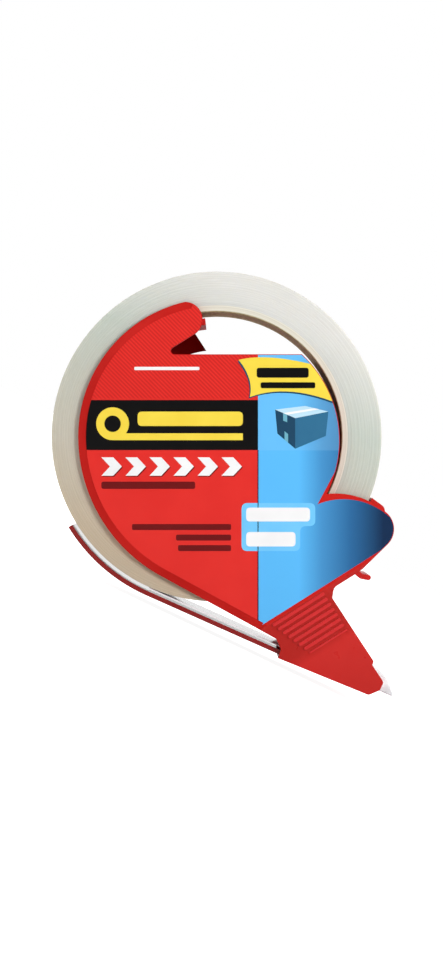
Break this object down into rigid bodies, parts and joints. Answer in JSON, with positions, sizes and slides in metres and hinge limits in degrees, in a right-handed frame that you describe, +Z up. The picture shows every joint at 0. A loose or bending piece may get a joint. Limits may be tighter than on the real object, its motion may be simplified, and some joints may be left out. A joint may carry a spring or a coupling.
{
  "type": "packing tape dispenser",
  "caption": "Clip-on packing-tape dispenser: a moulded hub and printed side panel hold a roll of clear tape above a springy band, with a ribbed hollow nose and a toothed cutter.",
  "frame": {"origin": "centre of the bounding box on the floor, with the dispenser standing on its nose heel and on the belly of its band", "axes": "+X towards the cutter, +Z up, and the printed panel faces -Y; the roll turns about Y"},
  "size_m": [0.1327, 0.0538, 0.1031],
  "materials": {
    "red_plastic": "satin",
    "cutter_plastic": "gloss",
    "printed_label": "satin",
    "cardboard": "matte",
    "wound_film": "gloss",
    "free_film": "gloss"
  },
  "bodies": {
    "frame": {"front_panel": "red_plastic", "nose_cheek_front": "red_plastic", "nose_cheek_rear": "red_plastic", "hub_wall": "red_plastic", "hub_flange": "red_plastic", "panel_ribs": "red_plastic", "roll_guard": "red_plastic", "throat_wall": "red_plastic", "throat_lip": "red_plastic", "nose_top_wall": "red_plastic", "nose_floor": "red_plastic", "cutter_blade": "cutter_plastic", "label": "printed_label", "tape_leader": "free_film"},
    "roll": {"core": "cardboard", "tape_roll": "wound_film"},
    "band": {"brake_band": "red_plastic"},
    "latch_upper": {"latch_upper": "red_plastic"},
    "latch_lower": {"latch_lower": "red_plastic"},
    "latch_right": {"latch_right": "red_plastic"}
  },
  "joints": [
    {"name": "roll_spin", "type": "hinge", "parent": "frame", "child": "roll", "pos_m": [-0.01611, 0, 0.0529], "axis": [0, 1, 0], "continuous": true},
    {"name": "band_flex", "type": "hinge", "parent": "frame", "child": "band", "pos_m": [0.02921, 0, 0.00176], "axis": [0, 1, 0], "range_deg": [-2, 0.8], "stiffness_Nm_per_rad": 1},
    {"name": "latch_upper_flex", "type": "hinge", "parent": "frame", "child": "latch_upper", "pos_m": [-0.0512, 0.00445, 0.05574], "axis": [-0.0809, 0, -0.9967], "range_deg": [0, 5], "stiffness_Nm_per_rad": 2},
    {"name": "latch_lower_flex", "type": "hinge", "parent": "frame", "child": "latch_lower", "pos_m": [-0.00978, 0.00445, 0.01827], "axis": [0.9837, 0, 0.1798], "range_deg": [0, 5], "stiffness_Nm_per_rad": 2},
    {"name": "latch_right_flex", "type": "hinge", "parent": "frame", "child": "latch_right", "pos_m": [0.01852, 0.00445, 0.05923], "axis": [-0.1798, 0, 0.9837], "range_deg": [0, 5], "stiffness_Nm_per_rad": 2}
  ]
}
